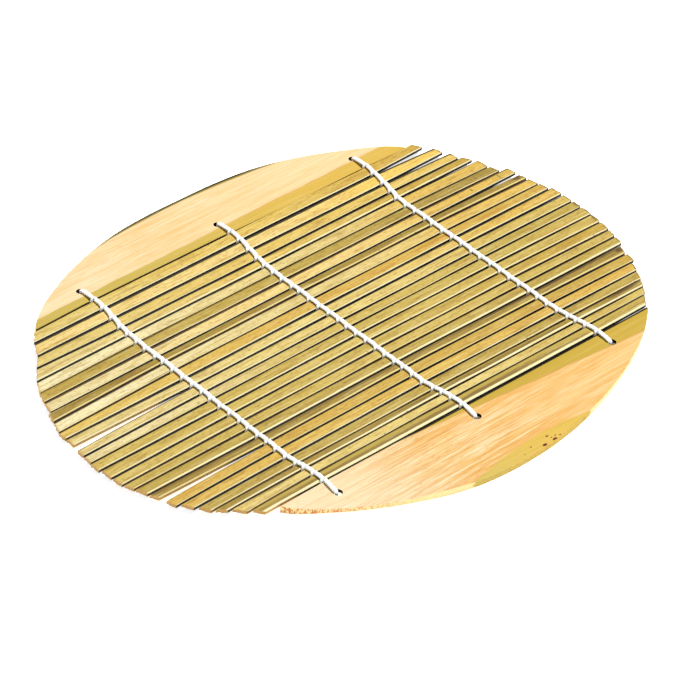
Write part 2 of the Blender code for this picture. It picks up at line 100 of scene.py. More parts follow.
# Marks that one strip alone has: the strip's number, where the mark's middle is (X in mm, and the share of
# the strip's width from its near side), its length and width in mm, and its tone
Mark = namedtuple("Mark", "strip x share length width tone")
MARKS = (
    Mark(8, 98.5, 0.7, 3.6, 2.6, "brown"),
    Mark(8, 60.0, 0.62, 90.0, 0.35, "umber"),
    Mark(8, -78.0, 0.75, 44.0, 0.40, "umber"),
    Mark(13, 104.0, 0.5, 2.2, 3.0, "umber"),
    Mark(15, 103.5, 0.5, 2.0, 3.0, "umber"),
    Mark(19, 97.5, 0.6, 3.0, 2.4, "brown"),
    Mark(6, 92.0, 0.45, 15.0, 0.20, "brown"),
    Mark(10, 30.0, 0.35, 14.0, 0.9, "rust"),
    Mark(10, 52.0, 0.60, 20.0, 0.9, "rust"),
    Mark(10, 78.0, 0.40, 18.0, 0.8, "rust"),
    Mark(7, 96.0, 0.55, 10.0, 1.6, "moss"),
    Mark(9, -62.0, 0.10, 12.0, 0.5, "umber"),
    Mark(14, 88.0, 0.15, 16.0, 0.7, "rust"),
    Mark(20, 60.0, 0.12, 40.0, 0.6, "rust"),
    Mark(24, -70.0, 0.85, 20.0, 0.5, "umber"),
    Mark(23, 5.0, 0.62, 110.0, 0.28, "brown"),
    Mark(23, 30.0, 0.42, 70.0, 0.22, "brown"),
    Mark(25, 12.0, 0.45, 60.0, 0.9, "umber"),
    Mark(25, 45.0, 0.40, 30.0, 0.5, "umber"),
    Mark(25, -12.0, 0.40, 130.0, 1.0, "umber"),
    Mark(19, 66.0, 0.86, 72.0, 0.8, "brown"),
    Mark(23, 83.0, 0.80, 16.0, 1.1, "brown"),
    Mark(6, 87.6, 0.60, 0.5, 4.4, "umber"),
    Mark(6, 84.0, 0.88, 7.0, 0.35, "umber"),
    Mark(7, 94.4, 0.60, 0.6, 4.6, "umber"),
    Mark(7, 81.8, 0.50, 0.9, 1.6, "umber"),
)

# The three cords in mm: X of the middle of each, of its line beside each end slat, and of its two holes
CordLine = namedtuple("CordLine", "name middle_x far_x near_x far_hole_x near_hole_x")
CORD_LINES = (
    CordLine("cord_left", -56.25, -53.55, -54.6, -54.3, -55.0),
    CordLine("cord_middle", 0.70, 3.75, 2.9, 2.9, 2.5),
    CordLine("cord_right", 59.05, 62.9, 61.4, 62.1, 61.5),
)
FAR_HOLE_Y = 63.9
NEAR_HOLE_Y = -58.3
HOLE_REACH = 1.6                # mm from a hole's middle that holds all of its wall
PLAIN_GAP = 0.8                 # mm between two strips where no wedge opens
STRIPS_OF_SLIDE = 4.5           # a cord slides from its line at a slat to its middle over this many strips
STRAY = 0.13                    # mm that a cord strays from its line
STRAY_STEP = 1.7                # radians of that from one gap to the next
FLAT_LAYER = 0.01 * MM          # a strip's lowest points lie within this
FINISH_SEED = 3.7               # from one strip's fibres to the next one's
SHAPE_SEED = 5.3                # and from one strip's uneven sides to the next one's

# The planed face of each end slat meets the skin along two lines. The one towards the strips is straight:
# its Y in mm at X = 0 and its rise for every mm of X. The one towards the rim bends: the Y of its middle, the
# X of that middle, and how far it bends rimward for every square mm. Then the skin's tones at the left and
# the right end, the planed face's palest and warmest tone and its streaks, and how strong these are.
SlatLook = namedtuple("SlatLook", (
    "name inner_y inner_rise outer_y outer_x outer_bend "
    "skin_left skin_right planed warm streak strength"))
SLAT_LOOKS = (
    SlatLook("end_slat_far", 61.9, 0.014, 80.6, 0.5, -0.0018,
             "sage", "amber", "planed", "blush", "flame", 0.4),
    SlatLook("end_slat_near", -54.2, -0.084, -76.4, 12.0, 0.0039,
             "fawn", "fawn", "peach", "apricot", "ember", 1.0),
)

# Red-brown spots on the near slat's skin: place and radius in mm
Spot = namedtuple("Spot", "x y radius")
SPOTS = (
    Spot(9.9, -80.8, 0.42), Spot(14.1, -80.7, 0.42), Spot(12.8, -78.5, 0.26), Spot(13.6, -79.7, 0.16),
    Spot(15.3, -79.6, 0.14), Spot(16.8, -80.3, 0.22), Spot(5.4, -79.1, 0.16), Spot(1.9, -80.4, 0.14),
)


STAGE_BRIGHTNESS = 1.35         # the light is this many times what shows a white thing as just white


def tone(red, green, blue):
    """A colour as a screen shows it, 0 to 255, in the linear light that shaders use."""
    shares = (red / 255, green / 255, blue / 255)
    return tuple(s / 12.92 if s <= 0.04045 else ((s + 0.055) / 1.055) ** 2.4 for s in shares)


TONES = {
    "cream": tone(252, 241, 190),
    "ivory": tone(243, 227, 168),
    "pale": tone(236, 215, 142),
    "butter": tone(247, 218, 136),
    "straw": tone(234, 210, 124),
    "gold": tone(234, 202, 102),
    "honey": tone(250, 211, 100),
    "brass": tone(229, 191, 86),
    "amber": tone(224, 183, 78),
    "ochre": tone(214, 176, 72),
    "olive": tone(217, 190, 94),
    "sage": tone(207, 181, 86),
    "fawn": tone(204, 170, 64),
    "moss": tone(197, 170, 74),
    "khaki": tone(172, 145, 56),
    "umber": tone(136, 107, 36),
    "rust": tone(196, 136, 40),
    "brown": tone(80, 52, 12),
    # dark: painted shade in the gaps, on their walls and inside the cord holes
    "dark": tone(20, 14, 4),
    "planed": tone(249, 225, 175),
    "blush": tone(247, 209, 147),
    "flame": tone(240, 188, 106),
    "peach": tone(247, 212, 144),
    "apricot": tone(242, 190, 109),
    "ember": tone(229, 165, 78),
    # Shades in a strip's skin and at its ends
    "mottled": tone(212, 194, 140),
    "blotched": tone(204, 180, 124),
    "fibrous": tone(204, 180, 118),
    "grained": tone(210, 188, 134),
    "stained": tone(112, 82, 30),
    "pores": tone(140, 92, 36),
    # Shades on an end slat: light places, flecks, painted light that makes its steep faces and rim wall
    # paler, its rim band, the lines where planed wood meets skin, and the brown end of a painted gap shade
    "light_patch": tone(255, 239, 200),
    "light_streak": tone(255, 238, 198),
    "light_fibre": tone(255, 241, 206),
    "painted_slope_light": tone(254, 230, 176),
    "fleck": tone(222, 150, 70),
    "rim": tone(249, 216, 152),
    "rim_fleck": tone(206, 108, 36),
    "rim_band_edge": tone(148, 130, 60),
    "rim_band": tone(60, 52, 22),
    "gap_shade_tip": tone(190, 108, 40),
    "warm_line": tone(196, 132, 58),
    "spot": tone(120, 40, 0),
    # Shades in the cotton, with painted shade for the grooves between its yarns, and on the table
    "lint_clump": tone(250, 246, 236),
    "lint": tone(246, 240, 226),
    "groove_shade": tone(226, 215, 192),
    "table_shade": tone(250, 250, 249),
    "table": tone(253, 253, 252),
    "white": (1.0, 1.0, 1.0),
}


class StripSizes(bpy.types.PropertyGroup):
    """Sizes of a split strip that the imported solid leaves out."""
    crown: FloatProperty(
        name="Crown", description="How far the skin falls from the middle of a strip to its sides",
        default=0.04 * MM, min=0.0, unit="LENGTH", subtype="DISTANCE")
    corner: FloatProperty(
        name="Corner", description="Radius of a strip's long top corners",
        default=0.09 * MM, min=0.0, unit="LENGTH", subtype="DISTANCE")
    lip_fall: FloatProperty(
        name="Lip fall", description="How far the pale split edge falls for its width",
        default=0.12, min=0.0, max=1.0, subtype="FACTOR")
    trim: FloatProperty(
        name="Trim", description="How far each long side stays inside the packed solid's",
        default=0.02 * MM, min=0.0, unit="LENGTH", subtype="DISTANCE")
    wander: FloatProperty(
        name="Wander", description="How far a split edge strays from its line",
        default=0.06 * MM, min=0.0, unit="LENGTH", subtype="DISTANCE")
    points_along: IntProperty(
        name="Points along", description="Mesh points along a strip", default=110, min=8)
    points_across: IntProperty(
        name="Points across", description="Mesh points across a strip", default=11, min=4)


class CordSizes(bpy.types.PropertyGroup):
    """Sizes of a cotton cord."""
    half_width: FloatProperty(
        name="Half width", description="Half the width of a stitch where it lies on a strip",
        default=0.84 * MM, min=0.0, unit="LENGTH", subtype="DISTANCE")
    half_height: FloatProperty(
        name="Half height", description="Half the height of a stitch where it lies on a strip",
        default=0.50 * MM, min=0.0, unit="LENGTH", subtype="DISTANCE")
    under_height: FloatProperty(
        name="Under height", description="Half the height of a stitch where it lies under a strip",
        default=0.46 * MM, min=0.0, unit="LENGTH", subtype="DISTANCE")
    sidestep: FloatProperty(
        name="Sidestep", description="How far to the right of the cord's line a strand comes up in a gap",
        default=0.38 * MM, min=0.0, unit="LENGTH", subtype="DISTANCE")
    hook: FloatProperty(
        name="Hook", description="How far to the left of the cord's line a strand goes down in a gap",
        default=1.10 * MM, min=0.0, unit="LENGTH", subtype="DISTANCE")
    plies: IntProperty(name="Plies", description="Yarns twisted into one strand", default=3, min=2)
    twist: FloatProperty(
        name="Twist", description="Length of one full turn of the yarns",
        default=3.4 * MM, min=0.1 * MM, unit="LENGTH", subtype="DISTANCE")
    groove: FloatProperty(
        name="Groove", description="Depth of the groove between two yarns, as a share of the strand",
        default=0.16, min=0.0, max=0.5, subtype="FACTOR")


class MatColours(bpy.types.PropertyGroup):
    """Colours that are the same on several pieces."""
    cotton: FloatVectorProperty(
        name="Cotton", description="Colour of the cords", size=3, subtype="COLOR", min=0.0, max=1.0,
        default=tone(255, 255, 253))
    cut_end: FloatVectorProperty(
        name="Cut end", description="Colour of a strip's sawn end", size=3, subtype="COLOR",
        min=0.0, max=1.0, default=tone(212, 164, 84))
    speck: FloatVectorProperty(
        name="Speck", description="Colour of the specks in the skin", size=3, subtype="COLOR",
        min=0.0, max=1.0, default=tone(128, 84, 30))


class StageSizes(bpy.types.PropertyGroup):
    """The floor and the lights."""
    floor_size: FloatProperty(
        name="Floor size", description="Side of the square floor",
        default=4.0, min=0.5, unit="LENGTH", subtype="DISTANCE")
    key_power: FloatProperty(
        name="Key light", description="Power of the key light in watts", default=82.0, min=0.0, unit="POWER")
    fill_power: FloatProperty(
        name="Fill light", description="Power of the fill light in watts", default=8.0, min=0.0, unit="POWER")
    sky: FloatProperty(name="Sky", description="Strength of the light from all round", default=0.15, min=0.0)
    glow: FloatProperty(
        name="Glow", description="Light that the white table under the mat gives off", default=0.80, min=0.0)


class MatSettings(bpy.types.PropertyGroup):
    """Everything that the mat's panel shows."""
    strips: PointerProperty(type=StripSizes)
    cords: PointerProperty(type=CordSizes)
    colours: PointerProperty(type=MatColours)
    stage: PointerProperty(type=StageSizes)


def settings():
    """The mat's settings in the open scene."""
    return bpy.context.scene.bamboo_mat


def by_math_node(operation, turned=False):
    """A way to work out a value, and another one where there is one, with a Math node."""
    def work(self, *others):
        values = (*others, self) if turned else (self, *others)
        return self.tree.math(operation, *values)
    return work


class Value:
    """An output of a node, which is worked on with plain + - * / as a number is."""
    __add__ = by_math_node("ADD")
    __sub__ = by_math_node("SUBTRACT")
    __rsub__ = by_math_node("SUBTRACT", turned=True)
    __mul__ = by_math_node("MULTIPLY")
    __truediv__ = by_math_node("DIVIDE")
    __abs__ = by_math_node("ABSOLUTE")
    root = by_math_node("SQRT")

    def __init__(self, tree, socket):
        self.tree = tree
        self.socket = socket

    def ease(self, low, high, start=0.0, end=1.0):
        """Ease from start to end as the value goes from low to high."""
        inputs = {"Value": self, "From Min": low, "From Max": high, "To Min": start, "To Max": end}
        return self.tree.add("ShaderNodeMapRange", inputs, interpolation_type="SMOOTHSTEP")["Result"]


class Outputs:
    """The outputs of a node, by name or number."""

    def __init__(self, tree, node):
        self.tree = tree
        self.node = node

    def __getitem__(self, key):
        return Value(self.tree, self.node.outputs[key])


# A wash over a colour: the value that it follows, where that starts to show and where it shows in full, how
# strong it is there, its tone, and whether it is mixed in or multiplied
Wash = namedtuple("Wash", "value start full strength tone how", defaults=("MIX",))

# A pattern along the fibres: the lengths of its waves along and across in mm, its place in the noise, and how
# many finer waves lie on the broad ones and how strong those are
Grain = namedtuple("Grain", "along across offset detail roughness", defaults=(2.0, 0.5))


def paint(colour):
    """A tone's name or a linear colour with full alpha; a colour from a node stays as it is."""
    if isinstance(colour, Value):
        return colour
    return (*(TONES[colour] if isinstance(colour, str) else colour), 1.0)


class Tree:
    """A node tree with short ways to add nodes and join them."""

    def __init__(self, tree):
        self.tree = tree

    def fill(self, node, inputs):
        """Link or set a node's inputs by name or number."""
        for key, value in inputs.items():
            if isinstance(value, Value):
                self.tree.links.new(value.socket, node.inputs[key])
            else:
                node.inputs[key].default_value = value

    def add(self, kind, inputs=None, **options):
        """Add a node, set its options and inputs, and give its outputs."""
        node = self.tree.nodes.new(kind)
        for key, value in options.items():
            setattr(node, key, value)
        self.fill(node, inputs or {})
        return Outputs(self, node)

    def math(self, operation, *values, clamp=False):
        """A Math node's result."""
        return self.add("ShaderNodeMath", dict(enumerate(values)), operation=operation, use_clamp=clamp)[0]

    def blend(self, share, first, second, how="MIX"):
        """Mix two colours."""
        inputs = {0: share, 6: paint(first), 7: paint(second)}
        return self.add("ShaderNodeMix", inputs, data_type="RGBA", blend_type=how)[2]

    def wash(self, colour, *washes):
        """Lay washes over a colour in turn."""
        for wash in washes:
            share = wash.value.ease(wash.start, wash.full, 0.0, wash.strength)
            colour = self.blend(share, colour, wash.tone, wash.how)
        return colour

    def join(self, x, y, z):
        """A vector from three numbers."""
        return self.add("ShaderNodeCombineXYZ", {0: x, 1: y, 2: z})[0]

    def split(self, vector):
        """The three numbers of a vector."""
        return tuple(self.add("ShaderNodeSeparateXYZ", {0: vector}))

    def place_mm(self):
        """X, Y and Z in the object's own frame, in mm."""
        return tuple(axis / MM for axis in self.split(self.add("ShaderNodeTexCoord")["Object"]))

    def attribute(self, name):
        """A number stored on the mesh."""
        return self.add("ShaderNodeAttribute", attribute_name=name)["Fac"]

    def noise(self, place, detail=2.0, roughness=0.5):
        """A noise value from 0 to 1 at a place of three numbers, at unit scale."""
        inputs = {"Vector": self.join(*place), "Scale": 1.0, "Detail": detail, "Roughness": roughness}
        return self.add("ShaderNodeTexNoise", inputs)[0]

    def grain(self, row, x_mm, across_mm, depth):
        """Noise stretched along the fibres."""
        place = (x_mm / row.along, across_mm / row.across, depth + row.offset)
        return self.noise(place, row.detail, row.roughness)

    def bump(self, height, distance):
        """A normal raised by a height pattern, distance metres at most."""
        return self.add("ShaderNodeBump", {"Height": height, "Strength": 1.0, "Distance": distance})[0]


def new_material(name):
    """A material with its tree and its shader, ready for nodes."""
    material = bpy.data.materials.new(name)
    material.use_nodes = True
    return material, Tree(material.node_tree), material.node_tree.nodes["Principled BSDF"]


def new_group(name, kind, inputs, outputs):
    """A node group with named inputs and outputs, and its tree."""
    group = bpy.data.node_groups.new(name, kind)
    for way, sockets in (("INPUT", inputs), ("OUTPUT", outputs)):
        for socket_name, socket_kind in sockets:
            group.interface.new_socket(socket_name, in_out=way, socket_type=f"NodeSocket{socket_kind}")
    return group, Tree(group)


def dimmed(t, colour):
    """A bamboo colour that looks as mixed once the bright stage light is on it."""
    return t.blend(1.0, colour, (1.0 / STAGE_BRIGHTNESS,) * 3, "MULTIPLY")


def length_of(along, across):
    """The length of a way with these two parts."""
    return (along * along + across * across).root()


SKIN_INPUTS = (
    ("Left", "Color"), ("Middle", "Color"), ("Right", "Color"), ("Lip", "Color"), ("Band", "Color"),
    ("Wall", "Color"), ("Cut end", "Color"), ("Speck", "Color"), ("Edge", "Color"), ("Lip width", "Float"),
    ("Band width", "Float"), ("Edge width", "Float"), ("Specks", "Float"), ("Wedge", "Float"),
    ("Half length", "Float"), ("Seed", "Float"),
)
SKIN_OUTPUTS = (("Colour", "Color"), ("Roughness", "Float"), ("Height", "Float"))
STRIP_GRAINS = (
    Grain(11.0, 1.6, 3.0),                  # mottle
    Grain(12.0, 0.45, 11.0, 3.0, 0.6),      # fibre
    Grain(2.2, 0.40, 23.0),                 # fine grain
    Grain(30.0, 6.0, 31.0),                 # patch
    Grain(1.3, 0.8, 37.0, 3.0, 0.65),       # blotch
    Grain(9.0, 3.0, 41.0),                  # ragged edge
)
EDGE_RAGGEDNESS = 0.5           # mm that the lip's and the band's edges stray
GAP_SHADE_RAGGEDNESS = 0.14          # mm that the painted gap shade's edge strays
SPECK_CELL = (3.2, 1.5)         # mm along and across that hold at most one speck
SPECK_CHANCE = 0.45             # share of those cells with a speck on the most speckled strip
END_PORE = 0.15                 # mm between the pores in a cut end
STAINED_FROM = (0.0, 10.0)      # X in mm over which stained tips set in, as only the right ones are
WEDGE_REACH = 38.0              # mm from the left cord to where a wedge has opened


def skin_group():
    """The finish of a split strip as a node group: skin, fibres, specks, pale lip, cut ends, and painted
    shade on its gap walls and along its far edge.
    """
    group, t = new_group("Split bamboo", "ShaderNodeTree", SKIN_INPUTS, SKIN_OUTPUTS)
    given = t.add("NodeGroupInput")
    x_mm, _, z_mm = t.place_mm()
    near_mm, far_mm, end_mm, depth = (t.attribute(name) for name in ("near_mm", "far_mm", "end_mm", "wall"))
    mottle, fibre, fine, patch, blotch, edge = (
        t.grain(row, x_mm, near_mm, given["Seed"]) for row in STRIP_GRAINS)

    share = x_mm / (given["Half length"] / MM) + (mottle - 0.5) * 0.5
    colour = t.blend(share.ease(-0.9, 0.0), given["Left"], given["Middle"])
    colour = t.wash(
        t.blend(share.ease(0.1, 0.85), colour, given["Right"]),
        Wash(patch, 0.50, 0.80, 0.20, "pale"),
        Wash(mottle, 0.52, 0.25, 0.60, "mottled", "MULTIPLY"),
        Wash(blotch, 0.52, 0.74, 0.70, "blotched", "MULTIPLY"),
        Wash(fibre, 0.51, 0.68, 0.60, "fibrous", "MULTIPLY"),
        Wash(fibre, 0.45, 0.30, 0.35, "cream"),
        Wash(fine, 0.48, 0.70, 0.50, "grained", "MULTIPLY"))

    ragged = (edge - 0.5) * EDGE_RAGGEDNESS
    from_lip = near_mm + ragged * 0.6 - given["Lip width"]
    lip = from_lip.ease(0.07, -0.07)
    colour = t.wash(
        colour,
        Wash(far_mm + ragged - given["Band width"], 0.12, -0.12, 0.80, given["Band"]),
        Wash(abs(from_lip - 0.12), 0.16, 0.0, 0.35, "umber"))
    colour = t.blend(lip, colour, t.wash(given["Lip"], Wash(fibre, 0.45, 0.75, 0.50, "honey")))

    cell = t.join(x_mm / SPECK_CELL[0], near_mm / SPECK_CELL[1], given["Seed"])
    cells = t.add("ShaderNodeTexVoronoi", {"Vector": cell, "Scale": 1.0})
    chance = t.add("ShaderNodeSeparateColor", {0: cells["Color"]})[0]
    chosen = (given["Specks"] * SPECK_CHANCE - chance).ease(-0.01, 0.01)
    colour = t.blend(cells["Distance"].ease(0.17, 0.07) * chosen * 0.75, colour, given["Speck"])

    colour = t.wash(colour, Wash(end_mm, 0.7, 0.1, 0.5, given["Cut end"]))
    stained = (end_mm - (mottle * 1.6 - 0.35)).ease(0.15, -0.15, 0.0, 0.75) * x_mm.ease(*STAINED_FROM)
    colour = t.blend(stained, colour, "stained")
    # Painted shade: a dark line along the far edge widens the gap's shade, and the walls below the top are
    # painted in the Wall tone, save where a wedge opens at the left and they show the cut end's tone
    from_gap_shade = far_mm + (fibre - 0.5) * GAP_SHADE_RAGGEDNESS - given["Edge width"]
    left_cord = CORD_LINES[0].middle_x
    wedge = x_mm.ease(left_cord, left_cord - WEDGE_REACH) * given["Wedge"]
    pores = t.noise((0.0, near_mm / END_PORE, z_mm / END_PORE))
    colour = t.wash(
        colour,
        Wash(from_gap_shade, 0.06, -0.08, 0.92, given["Edge"]),
        Wash(depth, 0.01, 0.09, 1.0, t.wash(given["Wall"], Wash(wedge, 0.3, 0.7, 1.0, given["Cut end"]))),
        Wash(end_mm, 0.03, 0.0, 1.0, t.wash(given["Cut end"], Wash(pores, 0.45, 0.7, 0.7, "pores"))))
    roughness = fibre * 0.25 + (lip * 0.2 + 0.34)
    t.add("NodeGroupOutput", {"Colour": colour, "Roughness": roughness, "Height": fibre * 0.7 + fine * 0.3})
    return group


def add_marks(t, colour, marks):
    """Lay a strip's own marks over its finish, each a soft spot drawn out along the fibres."""
    if not marks:
        return colour
    x_mm = t.place_mm()[0]
    near_mm, far_mm, depth = (t.attribute(name) for name in ("near_mm", "far_mm", "wall"))
    width = near_mm + far_mm
    on_top = depth.ease(0.09, 0.01)
    uneven = (t.noise((x_mm / 2.5, near_mm / 0.5, 0.0), 3.0, 0.6) - 0.5) * 1.2
    for mark in marks:
        along = (x_mm - mark.x) / (mark.length / 2)
        across = (near_mm - width * mark.share) / (mark.width / 2)
        away = length_of(along, across) + uneven
        colour = t.blend(away.ease(1.1, 0.6, 0.0, 0.75) * on_top, colour, mark.tone)
    return colour


SKIN_TONES = ("Left", "Middle", "Right", "Lip", "Band", "Wall")
FIBRE_RELIEF = 0.03 * MM        # how far the fibres stand up


def strip_finish(name, number, look, half_length, wedge, group):
    """The material of one strip, from its row of looks and how far the gap on its near side opens."""
    colours = settings().colours
    material, t, shader = new_material(f"{name}_skin")
    inputs = {key: paint(getattr(look, key.lower())) for key in SKIN_TONES}
    inputs.update({
        "Cut end": paint(colours.cut_end), "Speck": paint(colours.speck),
        # The painted gap shade along the far edge takes the wall shade of the gap it borders
        "Edge": paint(STRIP_LOOKS[max(number - 2, 0)].wall),
        "Lip width": look.lip_mm, "Band width": look.band_mm, "Edge width": look.line_mm,
        "Specks": look.specks, "Wedge": wedge, "Half length": half_length, "Seed": number * FINISH_SEED,
    })
    skin = t.add("ShaderNodeGroup", inputs, node_tree=group)
    colour = add_marks(t, skin["Colour"], [mark for mark in MARKS if mark.strip == number])
    t.fill(shader, {
        "Base Color": dimmed(t, colour), "Roughness": skin["Roughness"], "Specular IOR Level": 0.3,
        "Normal": t.bump(skin["Height"], FIBRE_RELIEF),
    })
    return material


SLAT_GRAINS = (
    Grain(70.0, 4.0, 1.0),                  # broad bands
    Grain(40.0, 9.0, 13.0),                 # pale patches
    Grain(22.0, 0.62, 5.0, 4.0, 0.65),      # streaks
    Grain(12.0, 0.30, 9.0, 3.0, 0.6),       # fine fibres
    Grain(3.2, 0.45, 21.0, 3.0, 0.6),       # flecks
    Grain(9.0, 1.5, 17.0, 3.0),             # ragged edge
)
SPOT_GRAIN = Grain(0.8, 0.5, 50.0)
FIBRE_LAYER = 1.2               # mm of depth over which the fibres change
SKIN_RAGGEDNESS = 1.2           # mm that the edge between planed wood and skin strays
FAR_RIM_STEADINESS = 0.7        # how much less it strays along the far slat's rim, as a share
NEAR_GAP_SHADE = (0.6, 0.4)          # mm past the gap where the painted gap shade on the near slat's inner edge ends
NEAR_GAP_SHADE_TIP = (-60.0, -66.0)  # X in mm where that painted shade turns brown
FAR_GAP_SHADE = (0.30, 0.14)         # mm past the gap where the painted gap shade on the far slat's inner edge ends
FAR_GAP_SHADE_TIP = (8.0, 0.0)       # X in mm where that painted shade ends

# What the finish of a slat works with at a point: its place in mm, its depth in the wood's layers, how far
# its face looks up, whether it is on a steep wall, and the patterns of SLAT_GRAINS
SlatPoint = namedtuple("SlatPoint", "x y depth facing on_rim broad patch streak fine fleck edge")


def planed_face(t, look, at):
    """The colour of an end slat's planed face and of the wall round its rim, with painted light that makes
    its steep faces paler and its rim wall brighter.
    """
    strong = look.strength
    colour = t.wash(
        look.planed,
        Wash(at.broad, 0.40, 0.62, 0.90, look.warm),
        Wash(at.patch, 0.52, 0.75, 0.50, "light_patch"),
        Wash(at.streak, 0.50, 0.62, 0.15 + 0.75 * strong, look.streak),
        Wash(at.streak, 0.46, 0.36, 0.30 + 0.40 * strong, "light_streak"),
        Wash(at.fine, 0.50, 0.66, 0.25 + 0.60 * strong, look.streak),
        Wash(at.fine, 0.45, 0.30, 0.40 + 0.30 * strong, "light_fibre"))
    flecked = at.fleck.ease(0.56, 0.70) * at.x.ease(30.0, -30.0, 0.1, 0.8 * strong)
    # Painted light: faces that slope steeply are washed paler
    colour = t.wash(
        t.blend(flecked, colour, "fleck"),
        Wash(at.x, -10.0, -60.0, 0.55 * strong, "light_fibre"),
        Wash(at.x, -20.0, 35.0, 0.40, look.warm),
        Wash(at.facing, 0.8, 0.4, 0.70, "painted_slope_light"))
    # Painted light: the rim wall takes the rim's tone undimmed by STAGE_BRIGHTNESS, so it looks lit where it
    # lies in shade
    colour = t.blend(at.on_rim * 0.9, colour, [STAGE_BRIGHTNESS * part for part in TONES["rim"]])
    rim_flecked = at.fleck.ease(0.44, 0.56) * at.x.ease(-28.0, -74.0, 0.0, 0.9) * at.on_rim * strong
    return t.blend(rim_flecked, colour, "rim_fleck")


def near_slat_skin(t, skin, at):
    """The near slat's skin beside the strips, with painted gap shade along its inner edge, and towards the
    rim, with its spots.
    """
    last_near = strip_sides(STRIP_NAMES[-1])[1]
    from_strip = line_y(at.x, last_near[1], last_near[-2]) - at.y
    # Painted shade: the gap beside the last strip is darkened onto the slat's inner edge, turning brown at
    # the left tip
    line = t.blend(at.x.ease(*NEAR_GAP_SHADE_TIP), "dark", "gap_shade_tip")
    skin = t.wash(skin, Wash(from_strip, PLAIN_GAP + NEAR_GAP_SHADE[0], PLAIN_GAP + NEAR_GAP_SHADE[1], 0.95, line))
    outer_skin = t.blend(at.x.ease(-18.0, 12.0), "olive", "brass")
    outer_skin = t.wash(outer_skin, Wash(at.fine, 0.5, 0.7, 0.6, "fawn"))
    return skin, add_spots(t, outer_skin, at)


def far_slat_skin(t, skin, at, past_outer):
    """The far slat's skin beside the strips, with painted gap shade along its inner edge at the left, and its
    dark band at the rim.
    """
    first_far = strip_sides(STRIP_NAMES[0])[0]
    # Painted shade: the gap beside the first strip is darkened onto the slat's inner edge, on its left part
    first_side = t.math("MINIMUM", line_y(at.x, first_far[0], first_far[1]),
                        line_y(at.x, first_far[1], first_far[3]))
    gap_shade_share = (at.y - first_side).ease(PLAIN_GAP + FAR_GAP_SHADE[0], PLAIN_GAP + FAR_GAP_SHADE[1], 0.0, 0.95)
    skin = t.blend(gap_shade_share * at.x.ease(*FAR_GAP_SHADE_TIP), skin, "dark")
    band = t.blend(past_outer.ease(0.2, 1.0), "rim_band_edge", "rim_band")
    return skin, t.blend(at.on_rim, band, "khaki")


def slat_finish(look):
    """The planed face of an end slat, with the skin left along its long edges and round its rim."""
    material, t, shader = new_material(f"{look.name}_wood")
    x_mm, y_mm, z_mm = t.place_mm()
    facing = t.split(t.add("ShaderNodeNewGeometry")["Normal"])[2]
    depth = z_mm / FIBRE_LAYER + look.outer_y
    grains = (t.grain(row, x_mm, y_mm, depth) for row in SLAT_GRAINS)
    at = SlatPoint(x_mm, y_mm, depth, facing, facing.ease(0.7, 0.3), *grains)
    rimward = 1.0 if look.outer_y > look.inner_y else -1.0
    off_middle = x_mm - look.outer_x
    past_inner = (x_mm * look.inner_rise + look.inner_y - y_mm) * rimward
    past_outer = (y_mm - (off_middle * off_middle * (look.outer_bend * rimward) + look.outer_y)) * rimward
    towards_rim = ((y_mm - (look.inner_y + look.outer_y) / 2) * rimward).ease(-1.0, 1.0)

    skin = t.wash(
        t.blend(x_mm.ease(-40.0, 45.0), look.skin_left, look.skin_right),
        Wash(at.fine, 0.5, 0.72, 0.5, "moss"),
        Wash(at.streak, 0.5, 0.30, 0.3, "straw"),
        Wash(at.fleck, 0.6, 0.80, 0.3, "khaki"))
    ragged = (at.edge - 0.5) * SKIN_RAGGEDNESS
    if rimward > 0:
        skin, outer_skin = far_slat_skin(t, skin, at, past_outer)
        ragged = ragged * (1.0 - towards_rim * FAR_RIM_STEADINESS)
    else:
        skin, outer_skin = near_slat_skin(t, skin, at)
    beyond = t.math("MAXIMUM", past_inner, past_outer) + ragged
    warm_share = x_mm.ease(-25.0, 15.0, 0.05, 0.6) * (1.0 - towards_rim)
    colour = planed_face(t, look, at)
    colour = t.blend(abs(beyond + 0.1).ease(0.45, 0.0) * warm_share, colour, "warm_line")
    colour = t.blend(beyond.ease(-0.4, 0.3), colour, t.blend(towards_rim, skin, outer_skin))
    colour = add_painted_hole_shade(t, colour, at, rimward)
    t.fill(shader, {
        "Base Color": dimmed(t, colour), "Roughness": 0.62, "Specular IOR Level": 0.12,
        "Normal": t.bump(at.streak * 0.5 + at.fine * 0.5, FIBRE_RELIEF),
    })
    return material


def line_y(x_mm, first, last):
    """Y in mm of the straight line through two points given in metres."""
    rise = (last[1] - first[1]) / (last[0] - first[0])
    return x_mm * rise + (first[1] - rise * first[0]) / MM


def add_spots(t, colour, at):
    """Red-brown spots with uneven edges, twice as long as wide, on a face that looks up."""
    wobble = (t.grain(SPOT_GRAIN, at.x, at.y, at.depth) - 0.5) * 0.5
    on_top = at.facing.ease(0.5, 0.8)
    for spot in SPOTS:
        away = length_of((at.x - spot.x) / 2.0, at.y - spot.y) + wobble
        colour = t.blend(away.ease(spot.radius + 0.12, spot.radius - 0.10) * on_top, colour, "spot")
    return colour


def add_painted_hole_shade(t, colour, at, rimward):
    """Painted shade on the walls inside the cord holes."""
    steep = at.facing.ease(0.6, 0.3)
    for line in CORD_LINES:
        x, y = (line.far_hole_x, FAR_HOLE_Y) if rimward > 0 else (line.near_hole_x, NEAR_HOLE_Y)
        inside = length_of(at.x - x, at.y - y).ease(HOLE_REACH + 0.3, HOLE_REACH)
        colour = t.blend(inside * steep, colour, "dark")
    return colour


